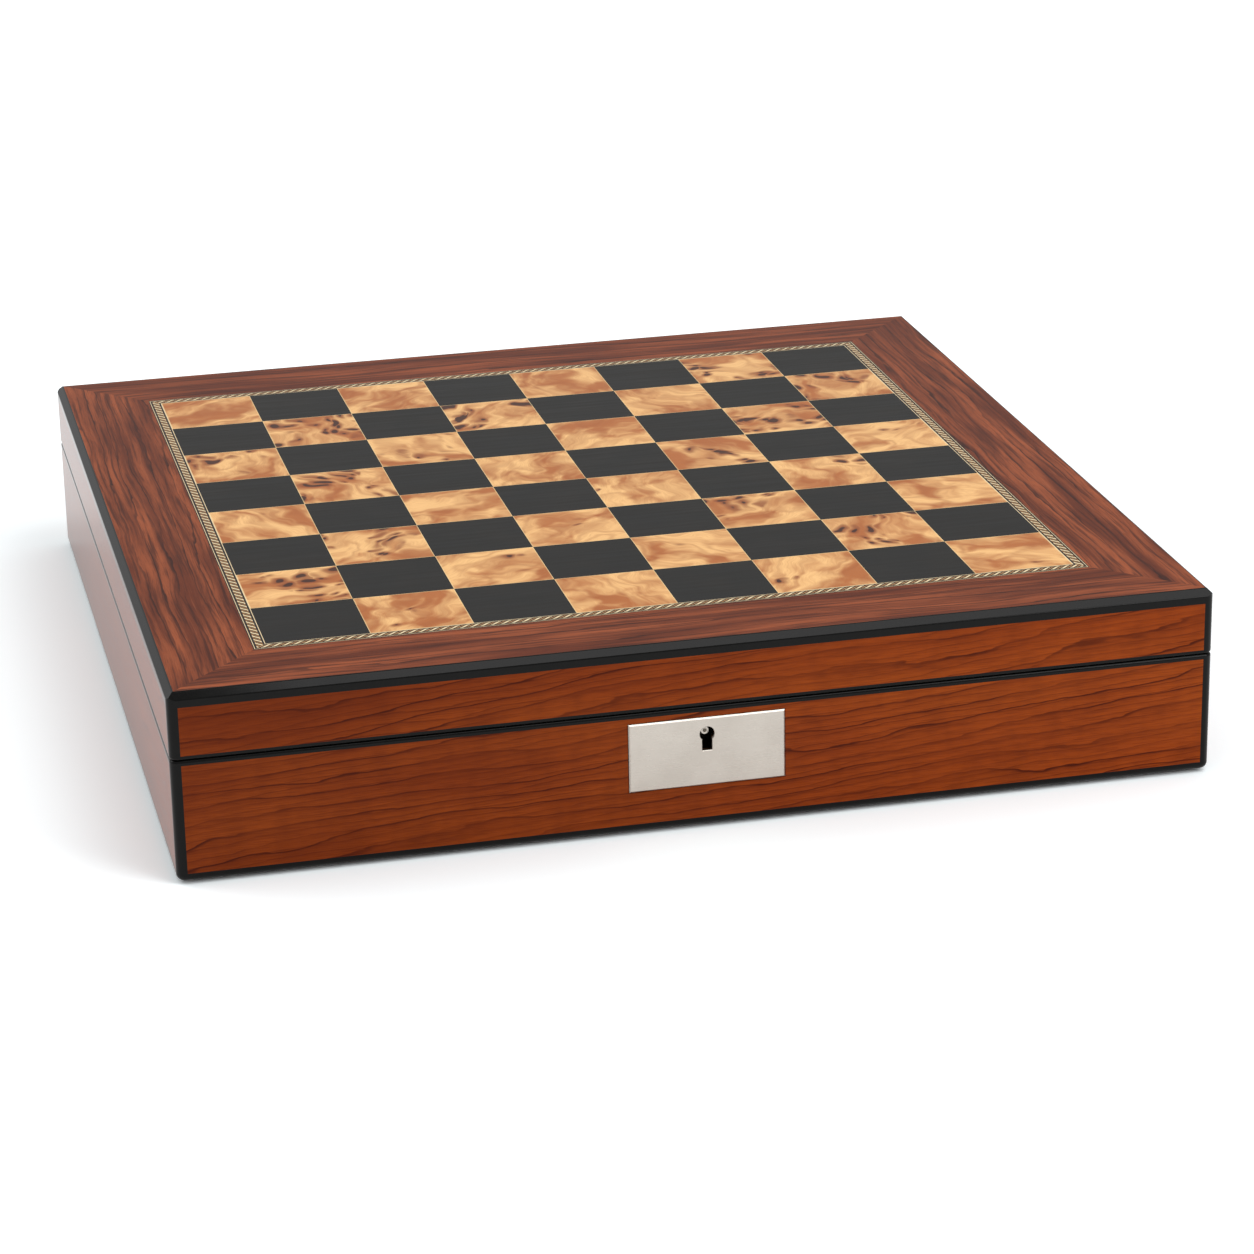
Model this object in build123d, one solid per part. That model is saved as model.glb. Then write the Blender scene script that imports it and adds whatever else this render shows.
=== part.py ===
from build123d import *
import os
from math import cos, radians, sin

# Chess board with storage: a veneered box whose lid is the playing board. The lid is hinged at
# the back with two stop hinges and locked at the front by a bolt that passes through a loop.
# Millimetres, +Z up, +X to the player's right, +Y towards the hinges. The origin is the centre of
# the underside. The model is at rest with the lid shut and the bolt drawn back.

# Playing board
square = 40.0             # side of one playing square
squares_per_side = 8
inlay_width = 5.2         # patterned band round the squares
border_width = 34.8       # mitred veneer between the band and the edging
top_veneer = 0.6          # thickness of the squares, the band and the border

# Carcass of the base and of the lid
base_height = 48.5
lid_height = 26.5
wall_board = 10.0         # thickness of the side boards
side_veneer = 0.6
lid_panel = 8.4           # thickness of the board under the playing surface
bottom_panel = 5.0
panel_seat = 4.0          # how far the bottom panel is let into the side boards

# Black edging
edging = 3.0              # depth of the edging behind the faces
lid_top_band = 5.6        # height of each band, seen from the side
lid_rim_band = 1.8
base_rim_band = 2.0
base_foot_band = 3.4
corner_band = 4.0         # width of the upright bands at the corners
lid_chamfer = 2.6
chamfer_round = 0.8       # softening of both arrises of the lid's chamfer
corner_round = 3.4
rim_round = 1.2           # softening of the arrises that meet at the parting line
foot_round = 2.6

# Inside and underside
partition = 3.0           # thickness of the partitions
partition_height = 36.0
pawn_trough = 50.0        # width of the two outer troughs
piece_cell = 88.0         # length of the cells for the larger pieces
cells_per_bank = 8
lining = 1.0              # thickness of the felt inside
lining_gap = 0.2
baize = 1.2               # thickness of the felt under the base
baize_inset = 6.0

# Lock plate and keyhole on the front of the base
plate_width = 61.0
plate_height = 27.5
plate_thickness = 1.2
plate_bevel = 0.5
plate_gap = 0.25          # open joint round the plate in the veneer
plate_drop = 4.3          # from the parting line to the plate's upper edge
key_drop = 3.8            # from the plate's upper edge to the top of the keyhole
key_circle = 5.7          # diameter of the keyhole's round part
key_slot = 3.9            # width of its slot
key_height = 9.5
key_bevel = 0.2
key_clear = 0.5           # how much wider the keyhole is in the wood and in the lock case

# Lock
lock_sheet = 1.0          # sheet that the lock case is made of
case_width = 40.0
case_below = 2.5          # how far the case reaches below the keyhole
forend_width = 54.0       # the plate on top of the case, in the edge of the front board
forend_thickness = 1.2
rail_length = 10.5        # rails in the case that guide the tail of the bolt
rail_height = 2.0
post_diameter = 3.0       # the pin that a hollow key turns on
post_bore = 1.6
post_bore_depth = 2.0
post_sink = 4.0           # from the face of the lock plate back to the tip of the pin
bolt_height = 5.0
bolt_tail = 15.0          # from the middle of the lock to the tail of the bolt
bolt_travel = 4.0
bolt_gap = 0.3            # running gap round the bolt
bolt_rise = 0.45          # from the pin up to the bolt
nose_height = 3.0
nose_gap = 1.2            # from the tip of the drawn bolt to the loop
shoulder_gap = 0.7        # from the shoulder of the thrown bolt to the loop
talon_width = 2.5         # notch that the key pushes the bolt by
talon_height = 1.6

# Strike plate with its loop, on the lid
strike_width = 36.0
loop_offset = 8.0         # from the middle of the lock to the loop
loop_thickness = 1.6
loop_leg = 1.0
loop_side_gap = 0.4       # between the loop and the cavity of the lock case
loop_slot_gap = 0.5       # between the loop and the ends of its slot in the forend
window_gap = 0.3          # round the bolt's nose in the loop's window

# Hinges
hinge_inset = 83.0        # from the side of the box to the middle of a hinge
hinge_length = 38.0
leaf_thickness = 1.2
leaf_depth = 8.6          # how far a leaf is let into the edge of the back board
barrel_diameter = 4.0
barrel_gap = 0.3          # between the barrel and all that turns past it
knuckles = 5
knuckle_gap = 0.2
pin_diameter = 1.8
pin_clear = 0.08          # radial
pin_head_diameter = 3.0
pin_head_length = 0.5
flange_reach = 5.2        # from the hinge's axis to the end of its stop flanges
lid_opening = 95.0        # degrees
stop_gap = 0.3            # left between the stop flanges of the open lid

# Countersunk screws
screw_diameter = 2.2
screw_head = 4.2
screw_length = 9.0
screw_clear = 0.05
slot_width = 0.5
slot_depth = 0.4
hinge_screw_margin = 6.0  # from the end of a leaf to its outer screws
plate_screw_margin = 3.6  # from the end of the forend or the strike plate to its screws

# Planes worked out from the sizes above
half_field = square * squares_per_side / 2
border_inside = half_field + inlay_width
border_outside = border_inside + border_width
outer = border_outside + edging
core = outer - side_veneer
inside = core - wall_board
foot = baize
parting = foot + base_height
top = parting + lid_height
floor = foot + bottom_panel
lid_ceiling = top - top_veneer - lid_panel

# Planes and places of the lock
plate_top = parting - plate_drop
key_top = plate_top - key_drop
key_centre = key_top - key_circle / 2
key_bottom = key_top - key_height
case_front = -outer + edging
cover_front = -inside - lock_sheet
case_top = parting - forend_thickness
case_bottom = key_bottom - case_below
cavity_front = case_front + lock_sheet
cavity_middle = (cavity_front + cover_front) / 2
bolt_bottom = key_centre + post_diameter / 2 + bolt_rise
bolt_middle = bolt_bottom + bolt_height / 2
loop_width = cover_front - cavity_front - 2 * loop_side_gap
window_width = loop_width - 2 * loop_leg
window_height = nose_height + 2 * window_gap
loop_bottom = bolt_middle - window_height / 2 - loop_leg

# Places of the hinges
hinge_places = (-outer + hinge_inset, outer - hinge_inset)
axis_y = outer + barrel_gap + barrel_diameter / 2

side_names = ("front", "right", "back", "left")
sides = range(len(side_names))


def block(x, y, z):
    """Box between the given pairs of planes."""
    middle = Pos((x[0] + x[1]) / 2, (y[0] + y[1]) / 2, (z[0] + z[1]) / 2)
    return middle * Box(x[1] - x[0], y[1] - y[0], z[1] - z[0])


def turned(shape, side):
    """A shape made for the front, turned to the side with that number."""
    return Rot(0, 0, 90 * side) * shape


def front_quarter(low, high):
    """The quarter of the plan in front of both diagonals, where mitred pieces end."""
    reach = 2 * outer
    plan = make_face(Polyline((-reach, -reach), (reach, -reach), (0, 0), close=True))
    return Pos(0, 0, low) * extrude(plan, high - low)


def mitred(shape):
    """A shape along the front, cut at the diagonals."""
    box = shape.bounding_box()
    return shape & front_quarter(box.min.Z - edging, box.max.Z + edging)


def cut_all(shape, cutters):
    """A shape with each cutter taken away in turn."""
    for cutter in cutters:
        shape = shape - cutter
    return shape


def soft_face(points, soft_corners):
    """Flat face from points, some of its corners rounded."""
    face = make_face(Polyline(*points, close=True))
    for number, radius in soft_corners.items():
        corner = face.vertices().sort_by_distance((points[number][0], points[number][1], 0))[0]
        face = fillet(corner, radius)
    return face


def section(points, soft_corners):
    """Face in the YZ plane from (y, z) points, some of its corners rounded."""
    return Plane.YZ * soft_face(points, soft_corners)


def outside(low, high, soft_corners):
    """The base or the lid as one solid, its upright corners rounded. Its lower arris, corner 0,
    and its upper arris, corner 1, are rounded along all four sides and round the corners."""
    profile = soft_face([(-outer, low), (-outer, high), (0, high), (0, low)], soft_corners)
    reach = outer - corner_round
    wall = extrude(Plane.YZ * profile, reach, both=True)
    strip = Pos(-outer + corner_round / 2, (low + high) / 2) * Rectangle(corner_round, high - low)
    at_corner = Pos(reach, 0, 0) * (Plane.YZ * (profile & strip))
    wall = wall + revolve(at_corner, Axis((reach, -reach, 0), (0, 0, 1)), 90)
    whole = wall
    for side in sides[1:]:
        whole = whole + turned(wall, side)
    return whole


base_outside = outside(foot, parting, {0: foot_round, 1: rim_round})
lid_outside = outside(parting, top, {0: rim_round})


def band_space(low, high):
    """The rebate that a strip along the front lies in."""
    return block((-outer, outer), (-outer, -outer + edging), (low, high))


def corner_space(low, high):
    """The square space of the upright band at the front left corner."""
    near = (-outer, -outer + corner_band)
    return block(near, near, (low, high))


def edging_strip(low, high, body):
    """Black strip along the front of a body between two heights, mitred at both ends."""
    return mitred(band_space(low, high)) & body


def lid_top_strip():
    """Strip round the playing surface, with a mitred chamfer towards the sides."""
    low = top - lid_top_band
    back = -outer + edging
    points = [(-outer, low), (back, low), (back, top), (-outer + lid_chamfer, top), (-outer, top - lid_chamfer)]
    strip = extrude(section(points, {3: chamfer_round, 4: chamfer_round}), outer, both=True)
    return mitred(strip) & lid_outside


def corner_strip(low, high, body):
    """Upright black band at the front left corner of a body."""
    return corner_space(low, high) & body


base_bands = ((foot, foot + base_foot_band), (parting - base_rim_band, parting))
lid_bands = ((parting, parting + lid_rim_band), (top - lid_top_band, top))
base_face = (foot + base_foot_band, parting - base_rim_band)
lid_face = (parting + lid_rim_band, top - lid_top_band)


def edging_spaces(bands, face):
    """All the spaces that the black edging takes from the boards of the base or of the lid."""
    spaces = []
    for side in sides:
        spaces += [turned(band_space(*band), side) for band in bands]
        spaces.append(turned(corner_space(*face), side))
    return spaces


def side_board(low, high):
    """Mitred board along the front, before anything is cut from it."""
    return mitred(block((-core, core), (-core, -core + wall_board), (low, high)))


def side_veneers(face):
    """Veneer on the four sides between the bands, keyed by side."""
    reach = outer - corner_band
    sheet = block((-reach, reach), (-outer, -core), face)
    return {name: turned(sheet, side) for side, name in enumerate(side_names)}


def bottom_board():
    """Panel that closes the base, let into the side boards."""
    reach = inside + panel_seat
    return block((-reach, reach), (-reach, reach), (foot, floor))


def lid_board():
    """Panel under the playing surface, on top of the lid's side boards."""
    panel = block((-core, core), (-core, core), (lid_ceiling, top - top_veneer))
    return cut_all(panel, edging_spaces(lid_bands, lid_face))


def keyhole(grow, front, back):
    """Cutter for the keyhole between two planes, wider all round by grow."""
    middle = Pos(0, key_centre) * Circle(key_circle / 2 + grow)
    width = key_slot + 2 * grow
    height = key_centre - key_bottom + grow
    slot = Pos(0, key_centre - height / 2) * Rectangle(width, height)
    return Pos(0, back, 0) * extrude(Plane.XZ * (middle + slot), back - front)


def plate_space(grow):
    """The lock plate's outline through the veneer and as far as its face, wider all round by grow."""
    half = plate_width / 2 + grow
    height = (plate_top - plate_height - grow, plate_top + grow)
    return block((-half, half), (-core - plate_thickness, -core), height)


def lock_plate():
    """Bevelled plate round the keyhole, on the front board."""
    plate = plate_space(0)
    face = plate.faces().sort_by(Axis.Y)[0]
    plate = chamfer(face.edges(), plate_bevel)
    plate = plate - keyhole(0, -core - plate_thickness, -core)
    face = plate.faces().sort_by(Axis.Y)[0]
    return chamfer(face.inner_wires()[0].edges(), key_bevel)


def screw_profile(grow):
    """Solid of a countersunk screw that points up from the origin, larger all round by grow."""
    shank = screw_diameter / 2 + grow
    head = screw_head / 2 + grow
    length = screw_length + grow
    outline = Polyline((0, 0), (head, 0), (shank, head - shank), (shank, length - shank), (0, length), close=True)
    return revolve(Plane.XZ * make_face(outline), Axis.Z)


def screw(place, points_up):
    """Slotted countersunk screw with its head flush at a place."""
    body = screw_profile(0)
    half = screw_head / 2
    body = body - block((-half, half), (-slot_width / 2, slot_width / 2), (0, slot_depth))
    return Pos(*place) * (body if points_up else Rot(180, 0, 0) * body)


def screw_hole(place, points_up):
    """The hole that a screw fills, through the metal and into the wood."""
    body = screw_profile(screw_clear)
    return Pos(*place) * (body if points_up else Rot(180, 0, 0) * body)


def hinge_screw_places():
    """Heads of the screws in the leaves at the parting line."""
    reach = hinge_length / 2 - hinge_screw_margin
    across = outer - edging - (leaf_depth - edging) / 2
    return [(middle + step, across, parting) for middle in hinge_places for step in (-reach, 0, reach)]


def plate_screw_places(width):
    """Heads of the two screws of the forend or of the strike plate."""
    reach = width / 2 - plate_screw_margin
    across = (case_front - inside) / 2
    return [(side * reach, across, parting) for side in (-1, 1)]


def forend():
    """Plate on top of the lock case, flush with the edge of the front board."""
    half = forend_width / 2
    return block((-half, half), (case_front, -inside), (case_top, parting))


def case_space():
    """The mortise that the lock case and its cover fill, below the forend."""
    half = case_width / 2
    return block((-half, half), (case_front, -inside), (case_bottom, case_top))


def guide_rail(low, high):
    """Rail in the lock case beside the tail of the bolt."""
    start = -case_width / 2 + lock_sheet
    return block((start, start + rail_length), (cavity_front, cover_front), (low, high))


def lock_case():
    """Case of the lock: forend, sheet walls and the two rails of the bolt."""
    half = case_width / 2
    hollow = half - lock_sheet
    body = block((-half, half), (case_front, cover_front), (case_bottom, case_top))
    body = body - block((-hollow, hollow), (cavity_front, cover_front), (case_bottom + lock_sheet, case_top))
    body = body + forend()
    body = body + guide_rail(bolt_bottom - bolt_gap - rail_height, bolt_bottom - bolt_gap)
    body = body + guide_rail(bolt_bottom + bolt_height + bolt_gap, case_top)
    reach = loop_thickness / 2 + loop_slot_gap
    body = body - block(
        (loop_offset - reach, loop_offset + reach), (cavity_front, cover_front), (case_top, parting)
    )
    body = body - keyhole(key_clear, case_front, cavity_front)
    return cut_all(body, [screw_hole(place, False) for place in plate_screw_places(forend_width)])


def lock_cover():
    """Sheet that closes the lock case towards the inside of the box."""
    half = case_width / 2
    return block((-half, half), (cover_front, -inside), (case_bottom, case_top))


def lock_post():
    """Pin on the lock cover that the hollow key turns on, drilled at its tip."""
    tip = -core - plate_thickness + post_sink
    length = cover_front - tip
    post = Cylinder(post_diameter / 2, length) - Pos(0, 0, (length - post_bore_depth) / 2) * Cylinder(
        post_bore / 2, post_bore_depth
    )
    return Pos(0, (tip + cover_front) / 2, key_centre) * Rot(90, 0, 0) * post


def lock_bolt():
    """Sliding bolt with a nose for the loop and a notch for the key."""
    shoulder = loop_offset - loop_thickness / 2 - shoulder_gap - bolt_travel
    tip = loop_offset - loop_thickness / 2 - nose_gap
    depth = (cavity_front + bolt_gap, cover_front - bolt_gap)
    body = block((-bolt_tail, shoulder), depth, (bolt_bottom, bolt_bottom + bolt_height))
    half = window_width / 2 - window_gap
    low = bolt_middle - nose_height / 2
    nose_depth = (cavity_middle - half, cavity_middle + half)
    nose = block((shoulder, tip), nose_depth, (low, low + nose_height))
    start = -(bolt_travel + talon_width) / 2
    talon = block((start, start + talon_width), depth, (bolt_bottom, bolt_bottom + talon_height))
    return body + nose - talon


def strike_space():
    """The recess of the strike plate in the edge of the lid's front board."""
    half = strike_width / 2
    return block((-half, half), (case_front, -inside), (parting, parting + forend_thickness))


def strike_plate():
    """Plate in the lid with the loop that hangs into the lock."""
    half = loop_width / 2
    along = (loop_offset - loop_thickness / 2, loop_offset + loop_thickness / 2)
    loop = block(along, (cavity_middle - half, cavity_middle + half), (loop_bottom, parting))
    opening = window_width / 2
    low = bolt_middle - window_height / 2
    loop = loop - block(along, (cavity_middle - opening, cavity_middle + opening), (low, low + window_height))
    plate = strike_space() + loop
    return cut_all(plate, [screw_hole(place, True) for place in plate_screw_places(strike_width)])


def hinge_cylinder(middle, diameter, start, end):
    """Cylinder on the hinge's axis, between two distances from the hinge's left end."""
    left = middle - hinge_length / 2
    place = Pos(left + (start + end) / 2, axis_y, parting)
    return place * Rot(0, 90, 0) * Cylinder(diameter / 2, end - start)


def stop_flange(middle):
    """Plate behind the barrel that stops the opened lid, as the lid's leaf has it."""
    angle = radians(lid_opening / 2)
    near = stop_gap / 2
    corners = ((0, near), (flange_reach, near), (flange_reach, near + leaf_thickness), (0, near + leaf_thickness))
    points = [
        (axis_y + along * cos(angle) - out * sin(angle), parting + along * sin(angle) + out * cos(angle))
        for along, out in corners
    ]
    return Pos(middle, 0, 0) * extrude(section(points, {}), hinge_length / 2, both=True)


def leaf_space(middle, up):
    """The mortise of a leaf in the edge of the back board and its edging."""
    half = hinge_length / 2
    height = (parting, parting + leaf_thickness) if up else (parting - leaf_thickness, parting)
    return block((middle - half, middle + half), (outer - leaf_depth, outer), height)


def hinge_leaf(middle, up):
    """Leaf of the lid when up, else of the base: plate, stop flange and every other knuckle."""
    half = hinge_length / 2
    height = (parting, parting + leaf_thickness) if up else (parting - leaf_thickness, parting)
    leaf = block((middle - half, middle + half), (outer - leaf_depth, axis_y), height)
    flange = stop_flange(middle)
    leaf = leaf + (flange if up else flange.mirror(Plane.XY.offset(parting)))
    pitch = hinge_length / knuckles
    for number in range(knuckles):
        start = number * pitch
        end = start + pitch
        if (number % 2 == 1) == up:
            start = start + (knuckle_gap / 2 if number > 0 else 0)
            end = end - (knuckle_gap / 2 if number < knuckles - 1 else 0)
            leaf = leaf + hinge_cylinder(middle, barrel_diameter, start, end)
        else:
            leaf = leaf - hinge_cylinder(middle, barrel_diameter + 2 * barrel_gap, start, end)
    leaf = leaf - hinge_cylinder(middle, pin_diameter + 2 * pin_clear, 0, hinge_length)
    holes = [place for place in hinge_screw_places() if abs(place[0] - middle) < half]
    return cut_all(leaf, [screw_hole(place, up) for place in holes])


def hinge_pin(middle):
    """Pin through all knuckles, with a head at each end."""
    pin = hinge_cylinder(middle, pin_diameter, 0, hinge_length)
    pin = pin + hinge_cylinder(middle, pin_head_diameter, -pin_head_length, 0)
    return pin + hinge_cylinder(middle, pin_head_diameter, hinge_length, hinge_length + pin_head_length)


def base_nodes():
    """Everything of the base that is wood, veneer or edging."""
    nodes = {}
    board = cut_all(side_board(foot, parting), [bottom_board()])
    hinge_cuts = [leaf_space(middle, False) for middle in hinge_places]
    hinge_cuts += [screw_hole(place, False) for place in hinge_screw_places()]
    lock_cuts = [case_space(), forend(), keyhole(key_clear, -core, case_front)]
    lock_cuts += [screw_hole(place, False) for place in plate_screw_places(forend_width)]
    cuts = {"front": lock_cuts, "back": hinge_cuts}
    spaces = edging_spaces(base_bands, base_face)
    for side, name in enumerate(side_names):
        nodes[f"base_{name}_board"] = cut_all(turned(board, side), spaces + cuts.get(name, []))
        nodes[f"base_foot_edging_{name}"] = turned(edging_strip(*base_bands[0], base_outside), side)
    rim = edging_strip(*base_bands[1], base_outside)
    rims = [cut_all(turned(rim, side), hinge_cuts) for side in sides]
    nodes["base_rim_edging"] = rims
    corner = corner_strip(*base_face, base_outside)
    nodes["base_corner_edging"] = [turned(corner, side) for side in sides]
    nodes["base_bottom_panel"] = bottom_board()
    for name, sheet in side_veneers(base_face).items():
        nodes[f"base_{name}_veneer"] = sheet - plate_space(plate_gap) if name == "front" else sheet
    return nodes


def lid_nodes():
    """Everything of the lid that is wood, veneer or edging."""
    nodes = {}
    board = side_board(parting, lid_ceiling)
    hinge_cuts = [leaf_space(middle, True) for middle in hinge_places]
    hinge_cuts += [screw_hole(place, True) for place in hinge_screw_places()]
    strike_cuts = [strike_space()] + [screw_hole(place, True) for place in plate_screw_places(strike_width)]
    cuts = {"front": strike_cuts, "back": hinge_cuts}
    spaces = edging_spaces(lid_bands, lid_face)
    for side, name in enumerate(side_names):
        nodes[f"lid_{name}_board"] = cut_all(turned(board, side), spaces + cuts.get(name, []))
        nodes[f"lid_top_edging_{name}"] = turned(lid_top_strip(), side)
    rim = edging_strip(*lid_bands[0], lid_outside)
    rims = [cut_all(turned(rim, side), hinge_cuts) for side in sides]
    nodes["lid_rim_edging"] = rims
    corner = corner_strip(*lid_face, lid_outside)
    nodes["lid_corner_edging"] = [turned(corner, side) for side in sides]
    nodes["lid_panel"] = lid_board()
    for name, sheet in side_veneers(lid_face).items():
        nodes[f"lid_{name}_veneer"] = sheet
    return nodes


def playing_surface_nodes():
    """Squares, band and border, all flush on the lid panel."""
    height = (top - top_veneer, top)
    border = mitred(block((-border_outside, border_outside), (-border_outside, -border_inside), height))
    band = mitred(block((-border_inside, border_inside), (-border_inside, -half_field), height))
    nodes = {}
    for side, name in enumerate(side_names):
        nodes[f"border_veneer_{name}"] = turned(border, side)
        nodes[f"inlay_band_{name}"] = turned(band, side)
    squares = {0: [], 1: []}
    for file in range(squares_per_side):
        for rank in range(squares_per_side):
            left = -half_field + file * square
            near = -half_field + rank * square
            tile = block((left, left + square), (near, near + square), height)
            squares[(file + rank) % 2].append(tile)
    nodes["dark_squares"] = squares[0]
    nodes["light_squares"] = squares[1]
    return nodes


def storage_nodes():
    """Partitions, felt linings and the felt under the base."""
    trough_end = inside - pawn_trough
    bank_start = trough_end - partition
    bank_end = bank_start - piece_cell
    centre = bank_end - partition
    height = (floor, floor + partition_height)
    across = (-inside, inside)
    felt = (floor, floor + lining)
    partitions = []
    dividers = []
    pads = [felt_pad((-centre, centre), across, felt)]
    pitch = (2 * inside + partition) / cells_per_bank
    for start, end in ((bank_start, trough_end), (centre, bank_end)):
        partitions.append(block((start, end), across, height))
        partitions.append(block((-end, -start), across, height))
    for bank in ((bank_end, bank_start), (-bank_start, -bank_end)):
        for number in range(cells_per_bank):
            near = -inside + number * pitch
            far = near + pitch - partition
            pads.append(felt_pad(bank, (near, far), felt))
            if number < cells_per_bank - 1:
                dividers.append(block(bank, (far, far + partition), height))
    pads.append(felt_pad((trough_end, inside), across, felt))
    pads.append(felt_pad((-inside, -trough_end), across, felt))
    reach = outer - baize_inset
    whole = (-inside, inside)
    return {
        "long_partitions": partitions,
        "cell_dividers": dividers,
        "compartment_linings": pads,
        "lid_lining": felt_pad(whole, whole, (lid_ceiling - lining, lid_ceiling)),
        "underside_baize": block((-reach, reach), (-reach, reach), (0, foot)),
    }


def felt_pad(x, y, z):
    """Felt cut a little smaller than its compartment."""
    return block((x[0] + lining_gap, x[1] - lining_gap), (y[0] + lining_gap, y[1] - lining_gap), z)


def hardware_nodes():
    """Lock, strike plate, hinges and their screws."""
    return {
        "lock_plate": lock_plate(),
        "lock_case": lock_case(),
        "lock_cover": lock_cover(),
        "lock_post": lock_post(),
        "lock_bolt": lock_bolt(),
        "lock_screws": [screw(place, False) for place in plate_screw_places(forend_width)],
        "strike_plate": strike_plate(),
        "strike_screws": [screw(place, True) for place in plate_screw_places(strike_width)],
        "hinge_base_leaves": [hinge_leaf(middle, False) for middle in hinge_places],
        "hinge_lid_leaves": [hinge_leaf(middle, True) for middle in hinge_places],
        "hinge_pins": [hinge_pin(middle) for middle in hinge_places],
        "hinge_base_screws": [screw(place, False) for place in hinge_screw_places()],
        "hinge_lid_screws": [screw(place, True) for place in hinge_screw_places()],
    }


os.makedirs("parts", exist_ok=True)
for maker in (base_nodes, lid_nodes, playing_surface_nodes, storage_nodes, hardware_nodes):
    for node, shape in maker().items():
        solids = shape if isinstance(shape, list) else [shape]
        bodies = [body for piece in solids for body in piece.solids()]
        export_step(Compound(children=bodies), f"parts/{node}.step")
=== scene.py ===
import math

import bmesh
import bpy
from mathutils import Matrix, Vector


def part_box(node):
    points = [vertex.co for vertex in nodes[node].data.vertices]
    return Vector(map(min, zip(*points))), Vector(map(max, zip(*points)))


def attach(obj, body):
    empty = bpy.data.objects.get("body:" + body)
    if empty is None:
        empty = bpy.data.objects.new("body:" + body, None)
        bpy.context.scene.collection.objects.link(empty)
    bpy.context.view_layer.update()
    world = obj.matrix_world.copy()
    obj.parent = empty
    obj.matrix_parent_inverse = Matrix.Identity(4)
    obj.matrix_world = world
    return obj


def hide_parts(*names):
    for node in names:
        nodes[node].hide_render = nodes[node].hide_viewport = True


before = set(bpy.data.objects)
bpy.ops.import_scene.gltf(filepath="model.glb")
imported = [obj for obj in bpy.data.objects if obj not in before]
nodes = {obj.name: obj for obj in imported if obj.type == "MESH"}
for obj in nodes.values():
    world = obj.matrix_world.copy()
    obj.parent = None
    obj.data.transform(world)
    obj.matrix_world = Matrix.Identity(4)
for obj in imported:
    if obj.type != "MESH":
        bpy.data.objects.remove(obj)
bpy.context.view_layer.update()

# Studio: a pale floor that goes on behind the box, soft lamps and a camera in front of it, to the
# left and above. The floor looks white to the camera and in reflections, and keeps the box's shadow.
camera_data = bpy.data.cameras.new("camera")
camera_data.lens = 112.85
camera_data.sensor_width = 36.0
camera = bpy.data.objects.new("camera", camera_data)
camera.location = (-0.3377, -1.5411, 0.5937)
camera.rotation_euler = [math.radians(turn) for turn in (69.658, 1.057, -13.334)]
bpy.context.scene.collection.objects.link(camera)
bpy.context.scene.camera = camera
bpy.context.scene.view_settings.view_transform = "Standard"

floor_reach = 6.0
floor_bounce = 0.80
floor_mirrored = 0.36
floor_near_box = (1.24, 1.305, 1.325, 1)
floor_far_off = (2.4, 2.4, 2.4, 1)
sky_light = 0.55
sky_mirrored = 0.03
sky_seen = 0.45
lamps = {
    "right_lamp": {"place": (1.05, -1.25, 0.95), "size": 0.9, "power": 9},
    "left_lamp": {"place": (-1.8, 0.6, 0.9), "size": 1.2, "power": 5},
    "back_lamp": {"place": (-1.3, 1.0, 2.0), "size": 1.6, "power": 12},
    "top_lamp": {"place": (0.8, -0.9, 2.3), "size": 1.3, "power": 15},
}


def add_node(tree, kind, inputs=None, **settings):
    """Adds a node. Sockets among its inputs are linked, and other values are set."""
    made = tree.nodes.new(kind)
    for name, value in settings.items():
        setattr(made, name, value)
    for name, value in (inputs or {}).items():
        if isinstance(value, bpy.types.NodeSocket):
            tree.links.new(value, made.inputs[name])
        else:
            made.inputs[name].default_value = value
    return made


def calc(tree, operation, first, second=0.0, third=0.0):
    """One step of arithmetic between sockets or numbers."""
    return add_node(tree, "ShaderNodeMath", {0: first, 1: second, 2: third}, operation=operation).outputs[0]


def object_place(tree):
    """Place on the piece, in metres."""
    return add_node(tree, "ShaderNodeTexCoord").outputs["Object"]


def mirrored_level(tree, path, level, more):
    """A level that is higher by more for rays from a glossy surface or through glass."""
    either = calc(tree, "MAXIMUM", path.outputs["Is Glossy Ray"], path.outputs["Is Transmission Ray"])
    return calc(tree, "MULTIPLY_ADD", either, more, level)


def studio_floor():
    """Large pale floor under the box. Its white rises away from the box, so that no edge shows."""
    mesh = bpy.data.meshes.new("studio_floor")
    bm = bmesh.new()
    bmesh.ops.create_grid(bm, x_segments=1, y_segments=1, size=floor_reach)
    bm.to_mesh(mesh)
    bm.free()
    floor = bpy.data.objects.new("studio_floor", mesh)
    bpy.context.scene.collection.objects.link(floor)
    material = bpy.data.materials.new("studio_floor")
    material.use_nodes = True
    tree = material.node_tree
    tree.nodes.clear()
    path = add_node(tree, "ShaderNodeLightPath")
    mirrored = mirrored_level(tree, path, floor_bounce, floor_mirrored)
    away = add_node(tree, "ShaderNodeVectorMath", {0: object_place(tree)}, operation="LENGTH").outputs["Value"]
    far = add_node(tree, "ShaderNodeMapRange", {"Value": away, "From Min": 0.35, "From Max": 1.6}).outputs[0]
    white = add_node(tree, "ShaderNodeMix", {"Factor": far, 6: floor_near_box, 7: floor_far_off}, data_type="RGBA")
    seen = add_node(tree, "ShaderNodeMix", {
        "Factor": path.outputs["Is Camera Ray"], 6: mirrored, 7: white.outputs[2]}, data_type="RGBA")
    paint = add_node(tree, "ShaderNodeBsdfDiffuse", {"Color": seen.outputs[2]})
    add_node(tree, "ShaderNodeOutputMaterial", {"Surface": paint.outputs[0]})
    mesh.materials.append(material)


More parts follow.
